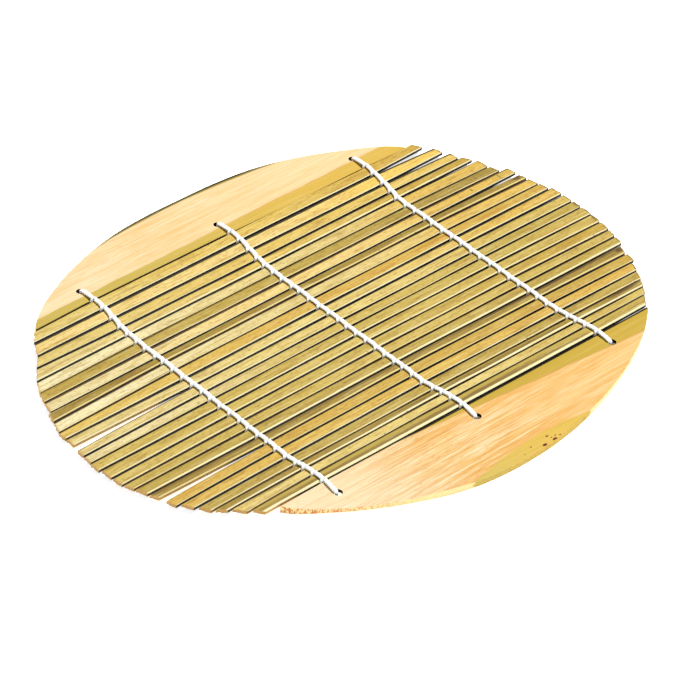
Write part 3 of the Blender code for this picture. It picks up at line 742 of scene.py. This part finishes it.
def cotton_finish():
    """White twisted cotton with short fibres, and painted shade in the grooves between its yarns."""
    material, t, shader = new_material("cotton")
    here = t.join(*t.place_mm())
    lint = t.add("ShaderNodeTexNoise", {"Vector": here, "Scale": 4.0, "Detail": 3.0})[0]
    clump = t.add("ShaderNodeTexNoise", {"Vector": here, "Scale": 0.7, "Detail": 2.0})[0]
    tint = t.wash(
        settings().colours.cotton,
        Wash(clump, 0.45, 0.70, 0.40, "lint_clump"),
        Wash(lint, 0.50, 0.75, 0.40, "lint"),
        # Painted shade: the grooves between the yarns are darkened
        Wash(t.attribute("groove"), 0.40, 1.00, 0.60, "groove_shade"))
    t.fill(shader, {
        "Base Color": tint, "Roughness": 0.9, "Specular IOR Level": 0.2, "Sheen Weight": 0.5,
        "Subsurface Weight": 0.6, "Subsurface Radius": (1.5 * MM, 1.1 * MM, 0.8 * MM),
        "Subsurface Scale": 1.0, "Normal": t.bump(lint, 0.06 * MM),
    })
    return material


SHADED_REACH = (101.0, 79.0)    # mm from the mat's middle, along X and Y, of the painted shadow where the table does not glow
SHADED_FROM = (-20.0, 10.0)     # X in mm over which that begins


def floor_finish():
    """A plain white table that glows a little, as for a picture on white; under the mat's right it does not
    glow, a painted shadow that keeps the gaps there dark.
    """
    material, t, shader = new_material("pale_floor")
    x_mm, y_mm, _ = t.place_mm()
    cloud = t.add("ShaderNodeTexNoise", {"Vector": t.add("ShaderNodeTexCoord")["Object"], "Scale": 3.0})[0]
    from_middle = length_of(x_mm / SHADED_REACH[0], y_mm / SHADED_REACH[1])
    # Painted shadow: the table stops glowing under the mat's right half
    painted_shadow = from_middle.ease(1.0, 0.95) * x_mm.ease(*SHADED_FROM)
    t.fill(shader, {
        "Base Color": t.blend(cloud.ease(0.3, 0.7), "table_shade", "table"), "Roughness": 0.85,
        "Emission Color": paint("white"), "Emission Strength": (1.0 - painted_shadow) * settings().stage.glow,
    })
    return material


def put(name, data):
    """A new object with this data, at the origin of the open scene."""
    made = bpy.data.objects.new(name, data)
    bpy.context.scene.collection.objects.link(made)
    return made


def strip_sides(name):
    """The far and near side of a packed strip as lists of points, left to right, read from its underside."""
    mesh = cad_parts[name].data
    low = min(vertex.co.z for vertex in mesh.vertices)
    flat = {(round(v.co.x, 5), round(v.co.y, 5)) for v in mesh.vertices if v.co.z < low + FLAT_LAYER}
    points = sorted(flat)
    end_x = [(points[0][0] + points[1][0]) / 2, (points[-1][0] + points[-2][0]) / 2]
    end_y = [(points[0][1] + points[1][1]) / 2, (points[-1][1] + points[-2][1]) / 2]
    far = [(x, y) for x, y in points if y > np.interp(x, end_x, end_y)]
    near = [(x, y) for x, y in points if y < np.interp(x, end_x, end_y)]
    return far, near


def add_side_curves(name, far, near):
    """A guide object with a strip's near and far side as two curves."""
    curve = bpy.data.curves.new(f"{name}_sides", "CURVE")
    curve.dimensions = "3D"
    for points, inward in ((near, 1), (far, -1)):
        spline = curve.splines.new("POLY")
        spline.points.add(len(points) - 1)
        for knot, (x, y) in zip(spline.points, points):
            knot.co = (x, y + inward * settings().strips.trim, 0.0, 1.0)
    return put(f"{name}_sides", curve)


STRIP_INPUTS = (
    ("Geometry", "Geometry"), ("Sides", "Object"), ("Finish", "Material"), ("Points along", "Int"),
    ("Points across", "Int"), ("Underside", "Float"), ("Thickness", "Float"), ("Crown", "Float"),
    ("Corner", "Float"), ("Lip width", "Float"), ("Lip fall", "Float"), ("Wander", "Float"),
    ("Seed", "Float"),
)
END_LENGTH = 200.0              # mm of strip that the distance from an end is measured on
RAGGED_END = 0.9 * MM           # how far a cut end's fibres differ in length
SWELL = 0.16 * MM               # how far the skin swells and sinks along a strip
SWELL_WAVES = 22.0              # a metre
WANDER_WAVES = 70.0             # a metre, along a split edge


def strip_tree():
    """Geometry nodes that split one strip between its two side curves."""
    group, t = new_group("Split strip", "GeometryNodeTree", STRIP_INPUTS, (("Geometry", "Geometry"),))
    group.is_modifier = True
    given = t.add("NodeGroupInput")
    shape = t.add("GeometryNodeMeshCube", {
        "Size": (1.0, 1.0, 1.0), "Vertices X": given["Points along"],
        "Vertices Y": given["Points across"], "Vertices Z": 4})["Mesh"]
    lengthwise, crosswise, upright = t.split(t.add("GeometryNodeInputPosition")[0])
    along = lengthwise + 0.5
    across = t.math("COSINE", (crosswise + 0.5) * math.pi) * -0.5 + 0.5
    up = upright + 0.5

    sides = t.add("GeometryNodeObjectInfo", {"Object": given["Sides"]})["Geometry"]
    sides = t.add("GeometryNodeCurveSplineType", {0: sides}, spline_type="CATMULL_ROM")[0]
    sides = t.add("GeometryNodeSetSplineResolution", {0: sides, "Resolution": 10})[0]
    near, far = (
        t.add("GeometryNodeSampleCurve", {"Curves": sides, "Factor": along, "Curve Index": index},
              mode="FACTOR")["Position"] for index in (0, 1))
    width = t.add("ShaderNodeVectorMath", {0: near, 1: far}, operation="DISTANCE")["Value"]
    from_near = across * width
    from_far = width - from_near
    x, y, _ = t.split(t.add("ShaderNodeMix", {0: across, 4: near, 5: far}, data_type="VECTOR")[1])

    def stray(waves_per_metre, offset):
        """Noise around zero that changes along the strip alone."""
        return t.noise((x * waves_per_metre, given["Seed"] + offset, 0.0), 3.0) - 0.5

    near_stray = stray(WANDER_WAVES, 0.0) * (1.0 - across)
    far_stray = stray(WANDER_WAVES, 9.0) * across
    sideways = (near_stray + far_stray) * (given["Wander"] * 2.0)
    ragged = t.noise((across * 3.0, given["Seed"], along)) - 0.5
    lengthways = ragged * RAGGED_END * abs(lengthwise).ease(0.488, 0.5)

    off_middle = across * 2.0 - 1.0
    rounded = off_middle * off_middle * given["Crown"]
    lip_drop = t.math("MAXIMUM", given["Lip width"] - from_near, 0.0) * given["Lip fall"]

    def corner_drop(distance):
        """Fall of a quarter-round corner at this distance from the side."""
        share = t.math("SUBTRACT", 1.0, distance / given["Corner"], clamp=True)
        round_part = t.math("SUBTRACT", 1.0, share * share, clamp=True).root()
        return (1.0 - round_part) * given["Corner"]

    fall = rounded + lip_drop + (corner_drop(from_near) + corner_drop(from_far))
    top = given["Thickness"] - fall + stray(SWELL_WAVES, 17.0) * SWELL
    facts = {
        "near_mm": from_near / MM, "far_mm": from_far / MM,
        "end_mm": (0.5 - abs(lengthwise)) * END_LENGTH, "wall": 1.0 - up,
    }
    for name, value in facts.items():
        shape = t.add("GeometryNodeStoreNamedAttribute", {"Geometry": shape, "Name": name, "Value": value},
                      data_type="FLOAT", domain="POINT")[0]
    target = t.join(x + lengthways, y + sideways, up * top + given["Underside"])
    shape = t.add("GeometryNodeSetPosition", {"Geometry": shape, "Position": target})[0]
    shape = t.add("GeometryNodeRealizeInstances", {0: shape})[0]
    shape = t.add("GeometryNodeSetMaterial", {"Geometry": shape, "Material": given["Finish"]})[0]
    t.add("NodeGroupOutput", {0: shape})
    return group


def run_tree(name, tree, values):
    """Run a geometry tree once and keep its result as a plain mesh object at the origin."""
    host = put(f"{name}_host", bpy.data.meshes.new(f"{name}_host"))
    modifier = host.modifiers.new("Nodes", "NODES")
    modifier.node_group = tree
    for item in tree.interface.items_tree:
        if item.in_out == "INPUT" and item.name in values:
            modifier[item.identifier] = values[item.name]
    bpy.context.view_layer.update()
    evaluated = host.evaluated_get(bpy.context.evaluated_depsgraph_get())
    mesh = bpy.data.meshes.new_from_object(evaluated)
    bpy.data.objects.remove(host, do_unlink=True)
    mesh.name = name
    return put(name, mesh)


def stand_for(piece, node):
    """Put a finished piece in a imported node's place."""
    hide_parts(node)
    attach(piece, "root")


SMOOTH_ANGLE = math.radians(38.0)
OPEN_TIP = 3.0                  # mm, for the last strip, whose left tip stands clear of the near slat


def wedge_at_left(number):
    """How much wider in mm the gap on a strip's near side is at its left tip than a plain gap."""
    if number == STRIP_COUNT:
        return OPEN_TIP
    near = strip_sides(STRIP_NAMES[number - 1])[1]
    next_far = strip_sides(STRIP_NAMES[number])[0]
    return max((near[0][1] - next_far[0][1]) / MM - PLAIN_GAP, 0.0)


class BAMBOO_OT_split_strips(bpy.types.Operator):
    """Split the bamboo strips"""
    bl_idname = "bamboo.split_strips"
    bl_label = "Split strips"

    def execute(self, context):
        sizes = settings().strips
        group = skin_group()
        tree = strip_tree()
        for number, (name, look) in enumerate(zip(STRIP_NAMES, STRIP_LOOKS), start=1):
            far, near = strip_sides(name)
            guide = add_side_curves(name, far, near)
            low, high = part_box(name)
            finish = strip_finish(name, number, look, (high.x - low.x) / 2, wedge_at_left(number), group)
            piece = run_tree(f"split_{name}", tree, {
                "Sides": guide, "Finish": finish,
                "Points along": sizes.points_along, "Points across": sizes.points_across,
                "Underside": STRIP_UNDERSIDE, "Thickness": STRIP_TOP - STRIP_UNDERSIDE,
                "Crown": sizes.crown, "Corner": sizes.corner, "Lip width": look.lip_mm * MM,
                "Lip fall": sizes.lip_fall, "Wander": sizes.wander, "Seed": number * SHAPE_SEED,
            })
            bpy.data.objects.remove(guide, do_unlink=True)
            piece.data.shade_smooth()
            piece.data.set_sharp_from_angle(angle=SMOOTH_ANGLE)
            stand_for(piece, name)
        return {"FINISHED"}


class BAMBOO_OT_plane_slats(bpy.types.Operator):
    """Plane the two end slats"""
    bl_idname = "bamboo.plane_slats"
    bl_label = "Plane end slats"

    def execute(self, context):
        for look in SLAT_LOOKS:
            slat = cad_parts[look.name]
            slat.material_slots[0].material = slat_finish(look)
        return {"FINISHED"}


def smooth_step(share):
    """Ease from 0 to 1 as share runs from 0 to 1."""
    share = min(max(share, 0.0), 1.0)
    return share * share * (3.0 - 2.0 * share)


def cord_x(line, gap_number, gap_count):
    """X of a cord's line at a gap, in metres: it slides over the first and the last few strips."""
    far_slide = smooth_step(1.0 - gap_number / STRIPS_OF_SLIDE)
    near_slide = smooth_step(1.0 - (gap_count - 1 - gap_number) / STRIPS_OF_SLIDE)
    shift = (line.far_x - line.middle_x) * far_slide + (line.near_x - line.middle_x) * near_slide
    stray = STRAY * math.sin(STRAY_STEP * gap_number + line.middle_x)
    return (line.middle_x + shift + stray) * MM


def gap_middles(x):
    """Y of the middle of every gap at one cord, far to near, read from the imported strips."""
    sides = [strip_sides(name) for name in STRIP_NAMES]
    far, near = ([np.interp(x, *zip(*side[edge])) for side in sides] for edge in (0, 1))
    half_gap = (near[0] - far[1]) / 2
    return [far[0] + half_gap] + [(a + b) / 2 for a, b in zip(near, far[1:])] + [near[-1] - half_gap]


# A point of a cord's route in metres, with the half sizes of the strand there
RoutePoint = namedtuple("RoutePoint", "x y z half_width half_height")
IN_GAP = (0.58, 0.36)           # half sizes in mm where a strand squeezes between two strips
IN_HOLE = (0.62, 0.48)          # and in a drilled hole
KNOT = (1.30, 0.48)             # and at the knot under the near slat
SHOULDER = 0.50 * MM            # from a gap's middle to where the strand lies level
REST_LIFT = 0.04 * MM           # a stitch's lowest line above the strip's face
HOLE_SHOULDER = 0.9 * MM        # from a hole's middle to where the strand lies level
FAR_HOLE_SIDE = 0.45            # mm that a cord lies to the right in its far hole
NEAR_HOLE_SIDE = 0.50           # and to the left in its near one
BULGE = 0.10 * MM               # how far an upper stitch bows to the right over the middle of a strip
STRAIGHT_SHARE = 0.15           # how far aside an upper stitch lies at its two ends, as a share of its step
TURN_SHARE = 0.9                # the same for a lower stitch
SHOULDER_SHARE = 0.94           # the strand's width there, as a share of its full width
UNDER_SAG = -0.04 * MM          # how a lower stitch hangs over the middle of its strip
OVER_RISE = 0.05 * MM           # and how an upper one rises
MOUTH_RISE = 0.52 * MM          # the strand's middle above the strips' faces where it enters a gap
PASSING = 0.10 * MM             # how far each of the two strands stands off the gap's middle there


def strand_route(line, gaps, sizes, starts_above):
    """One strand from the far slat to the near one: over one piece, under the next.

    It goes down on the left of the cord's line and comes up on the right, so every upper stitch ends in a
    small hook at its near gap.
    """
    points = []
    above_z = STRIP_TOP + sizes.half_height + REST_LIFT
    below_z = STRIP_UNDERSIDE - sizes.under_height - REST_LIFT
    shoulder_width = SHOULDER_SHARE * sizes.half_width
    squeezed = (IN_GAP[0] * MM, IN_GAP[1] * MM)
    for number, gap_y in enumerate(gaps):
        dives = starts_above == (number % 2 == 0)
        line_x = cord_x(line, number, len(gaps))
        side = -sizes.hook if dives else sizes.sidestep
        y = gap_y - PASSING if dives else gap_y + PASSING
        before_z, after_z = (above_z, below_z) if dives else (below_z, above_z)
        before_height = sizes.half_height if dives else sizes.under_height
        after_height = sizes.under_height if dives else sizes.half_height
        mouths = (STRIP_TOP + MOUTH_RISE, STRIP_UNDERSIDE - MOUTH_RISE)
        turns = (STRAIGHT_SHARE, TURN_SHARE) if dives else (TURN_SHARE, STRAIGHT_SHARE)
        points.append(RoutePoint(line_x + turns[0] * side, gap_y + SHOULDER, before_z,
                                 shoulder_width, before_height))
        for mouth_z in mouths if dives else reversed(mouths):
            points.append(RoutePoint(line_x + side, y, mouth_z, *squeezed))
        points.append(RoutePoint(line_x + turns[1] * side, gap_y - SHOULDER, after_z,
                                 shoulder_width, after_height))
        if number + 1 < len(gaps):
            next_x = cord_x(line, number + 1, len(gaps))
            bow = 0.0 if dives else BULGE
            lift = UNDER_SAG if dives else OVER_RISE
            points.append(RoutePoint((line_x + next_x) / 2 + bow, (gap_y + gaps[number + 1]) / 2,
                                     after_z + lift, sizes.half_width, after_height))
    return points


def cord_route(line, gaps, sizes):
    """The whole closed route of a cord: up its far hole, over and under, down its near hole and back."""
    over = (sizes.half_width, sizes.half_height)
    under = (sizes.half_width, sizes.under_height)
    above_z = STRIP_TOP + sizes.half_height + REST_LIFT
    below_z = STRIP_UNDERSIDE - sizes.under_height - REST_LIFT
    middle_z = (STRIP_TOP + STRIP_UNDERSIDE) / 2
    in_hole = (IN_HOLE[0] * MM, IN_HOLE[1] * MM)
    far_x = (line.far_hole_x + FAR_HOLE_SIDE) * MM
    near_x = (line.near_hole_x - NEAR_HOLE_SIDE) * MM
    far_y, near_y = FAR_HOLE_Y * MM, NEAR_HOLE_Y * MM
    knot = (KNOT[0] * MM, KNOT[1] * MM)
    route = [
        RoutePoint(far_x, far_y, middle_z, *in_hole),
        RoutePoint(far_x, far_y - HOLE_SHOULDER, above_z, *over),
    ]
    route += strand_route(line, gaps, sizes, True)
    route += [
        RoutePoint(near_x, near_y + HOLE_SHOULDER, above_z, *over),
        RoutePoint(near_x, near_y, middle_z, *in_hole),
        RoutePoint(near_x, near_y + HOLE_SHOULDER, below_z, *under),
        RoutePoint(near_x, near_y + 2 * HOLE_SHOULDER, below_z, *knot),
        RoutePoint(near_x, near_y + 3 * HOLE_SHOULDER, below_z, *under),
    ]
    route += reversed(strand_route(line, gaps, sizes, False))
    route.append(RoutePoint(far_x, far_y - HOLE_SHOULDER, below_z, *under))
    return route


CURVE_STEPS = 16                # steps of the smooth curve between two points of a route


def smooth_route(route, spacing):
    """Points at even spacing along a closed smooth curve through the route's points."""
    knots = np.array(route, dtype=float)
    before, after, beyond = np.roll(knots, 1, 0), np.roll(knots, -1, 0), np.roll(knots, -2, 0)
    dense = []
    for t in np.linspace(0.0, 1.0, CURVE_STEPS, endpoint=False):
        dense.append(0.5 * (2 * knots + (after - before) * t
                            + (2 * before - 5 * knots + 4 * after - beyond) * t ** 2
                            + (3 * knots - before - 3 * after + beyond) * t ** 3))
    dense = np.stack(dense, axis=1).reshape(-1, knots.shape[1])
    closed = np.vstack([dense, dense[:1]])
    steps = np.linalg.norm(np.diff(closed[:, :3], axis=0), axis=1)
    reached = np.concatenate([[0.0], np.cumsum(steps)])
    count = int(reached[-1] / spacing)
    wanted = np.linspace(0.0, reached[-1], count, endpoint=False)
    rows = [np.interp(wanted, reached, closed[:, k]) for k in range(closed.shape[1])]
    return np.stack(rows, axis=1), reached[-1]


RING_SPACING = 0.30 * MM        # between two rings of mesh points round a cord
RING_SIDES = 20
GROOVE_SHARPNESS = 2.5


def add_twisted_cord(name, route, sizes, finish):
    """A closed cord of twisted yarns along a route, flattened where the route says."""
    points, length = smooth_route(route, RING_SPACING)
    places = points[:, :3]
    tangents = np.roll(places, -1, 0) - np.roll(places, 1, 0)
    tangents /= np.linalg.norm(tangents, axis=1)[:, None]
    sideways = np.array([1.0, 0.0, 0.0]) - tangents[:, :1] * tangents
    sideways /= np.linalg.norm(sideways, axis=1)[:, None]
    upward = np.cross(tangents, sideways)
    turns = round(length / sizes.twist)
    phase = 2 * math.pi * turns * np.arange(len(points)) / len(points)
    angles = 2 * math.pi * np.arange(RING_SIDES) / RING_SIDES
    valley = np.abs(np.sin(0.5 * sizes.plies * (angles[None, :] - phase[:, None])))
    groove = (1.0 - valley) ** GROOVE_SHARPNESS
    reach = 1.0 - sizes.groove * groove
    wide = (np.cos(angles)[None, :] * reach * points[:, 3:4])[..., None] * sideways[:, None, :]
    high = (np.sin(angles)[None, :] * reach * points[:, 4:5])[..., None] * upward[:, None, :]
    vertices = (places[:, None, :] + wide + high).reshape(-1, 3)
    rings = np.arange(len(points))[:, None] * RING_SIDES
    following = np.roll(rings, -1, 0)
    corner = np.arange(RING_SIDES)[None, :]
    beside = np.roll(corner, -1, 1)
    faces = np.stack([rings + corner, rings + beside, following + beside, following + corner], axis=-1)
    mesh = bpy.data.meshes.new(name)
    mesh.from_pydata(vertices.tolist(), [], faces.reshape(-1, 4).tolist())
    depth = mesh.attributes.new("groove", "FLOAT", "POINT")
    depth.data.foreach_set("value", groove.reshape(-1).astype(np.float32))
    mesh.materials.append(finish)
    mesh.shade_smooth()
    return put(name, mesh)


class BAMBOO_OT_twine_cords(bpy.types.Operator):
    """Twine the cotton cords round the strips"""
    bl_idname = "bamboo.twine_cords"
    bl_label = "Twine cords"

    def execute(self, context):
        sizes = settings().cords
        finish = cotton_finish()
        for line in CORD_LINES:
            gaps = gap_middles(line.middle_x * MM)
            piece = add_twisted_cord(f"twined_{line.name}", cord_route(line, gaps, sizes), sizes, finish)
            stand_for(piece, line.name)
        return {"FINISHED"}


CAMERA_AZIMUTH = math.radians(-45.24)
CAMERA_ELEVATION = math.radians(38.72)
CAMERA_ROLL = math.radians(4.63)
CAMERA_PLACE = Vector((-680.8, -679.1, 763.7)) * MM
SENSOR_WIDTH = 36.0             # mm
LENS = 200.83                   # mm
NEAREST = 0.01                  # metres from the camera that still show
FLOOR_DROP = 0.02 * MM          # how far the floor lies under the mat's lowest face
# Lights in degrees round the mat (0 is +X, 90 is +Y), degrees above the floor, and metres. The key shines
# along the strips from the right, so the gaps stay dark; the fill comes from beside the camera.
Lamp = namedtuple("Lamp", "name azimuth elevation distance size")
KEY = Lamp("key_light", 8.0, 67.0, 2.4, 0.4)
FILL = Lamp("fill_light", 225.0, 25.0, 2.4, 1.2)


def add_light(lamp, power):
    """A soft square light that looks at the mat."""
    light = bpy.data.lights.new(lamp.name, "AREA")
    light.shape = "SQUARE"
    light.size = lamp.size
    light.energy = power
    azimuth, elevation = math.radians(lamp.azimuth), math.radians(lamp.elevation)
    level = Vector((math.cos(azimuth), math.sin(azimuth), 0.0)) * math.cos(elevation)
    towards = level + Vector((0.0, 0.0, math.sin(elevation)))
    holder = put(lamp.name, light)
    holder.location = towards * lamp.distance
    holder.rotation_euler = towards.to_track_quat("Z", "Y").to_euler()


def add_camera():
    """The camera where the photograph was taken from, looking at the mat from front left."""
    back = Vector((
        math.sin(CAMERA_AZIMUTH) * math.cos(CAMERA_ELEVATION),
        -math.cos(CAMERA_AZIMUTH) * math.cos(CAMERA_ELEVATION),
        math.sin(CAMERA_ELEVATION),
    ))
    level = Vector((math.cos(CAMERA_AZIMUTH), math.sin(CAMERA_AZIMUTH), 0.0))
    upright = back.cross(level)
    right = math.cos(CAMERA_ROLL) * level + math.sin(CAMERA_ROLL) * upright
    above = back.cross(right)
    lens = bpy.data.cameras.new("camera")
    lens.sensor_width = SENSOR_WIDTH
    lens.lens = LENS
    lens.clip_start = NEAREST
    camera = put("camera", lens)
    turn = Matrix((right, above, back)).transposed()
    camera.matrix_world = Matrix.Translation(CAMERA_PLACE) @ turn.to_4x4()
    bpy.context.scene.camera = camera


class BAMBOO_OT_set_stage(bpy.types.Operator):
    """Lay the floor and set the lights and the camera"""
    bl_idname = "bamboo.set_stage"
    bl_label = "Set stage"

    def execute(self, context):
        sizes = settings().stage
        bpy.ops.mesh.primitive_plane_add(size=sizes.floor_size, location=(0.0, 0.0, -FLOOR_DROP))
        floor = context.object
        floor.name = "floor"
        floor.data.materials.append(floor_finish())
        world = bpy.data.worlds.new("studio")
        world.use_nodes = True
        backdrop = world.node_tree.nodes["Background"]
        backdrop.inputs["Color"].default_value = paint("white")
        backdrop.inputs["Strength"].default_value = sizes.sky
        context.scene.world = world
        context.scene.view_settings.view_transform = "Standard"
        add_light(KEY, sizes.key_power)
        add_light(FILL, sizes.fill_power)
        add_camera()
        return {"FINISHED"}


OPERATORS = (BAMBOO_OT_split_strips, BAMBOO_OT_plane_slats, BAMBOO_OT_twine_cords, BAMBOO_OT_set_stage)
SETTINGS = (StripSizes, CordSizes, MatColours, StageSizes, MatSettings)


class BAMBOO_PT_panel(bpy.types.Panel):
    """The mat's pieces and sizes in the sidebar"""
    bl_idname = "BAMBOO_PT_panel"
    bl_label = "Oval Bamboo Mat"
    bl_space_type = "VIEW_3D"
    bl_region_type = "UI"
    bl_category = "Bamboo Mat"

    def draw(self, context):
        for operator in OPERATORS:
            self.layout.operator(operator.bl_idname)
        for group in ("strips", "cords", "colours", "stage"):
            box = self.layout.box()
            values = getattr(context.scene.bamboo_mat, group)
            for name in values.bl_rna.properties.keys():
                if name not in ("rna_type", "name"):
                    box.prop(values, name)


CLASSES = SETTINGS + OPERATORS + (BAMBOO_PT_panel,)


def register():
    for cls in CLASSES:
        bpy.utils.register_class(cls)
    bpy.types.Scene.bamboo_mat = PointerProperty(type=MatSettings)


def unregister():
    del bpy.types.Scene.bamboo_mat
    for cls in reversed(CLASSES):
        bpy.utils.unregister_class(cls)


def main():
    """Register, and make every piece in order."""
    register()
    bpy.ops.bamboo.split_strips()
    bpy.ops.bamboo.plane_slats()
    bpy.ops.bamboo.twine_cords()
    bpy.ops.bamboo.set_stage()


if __name__ == "__main__":
    main()
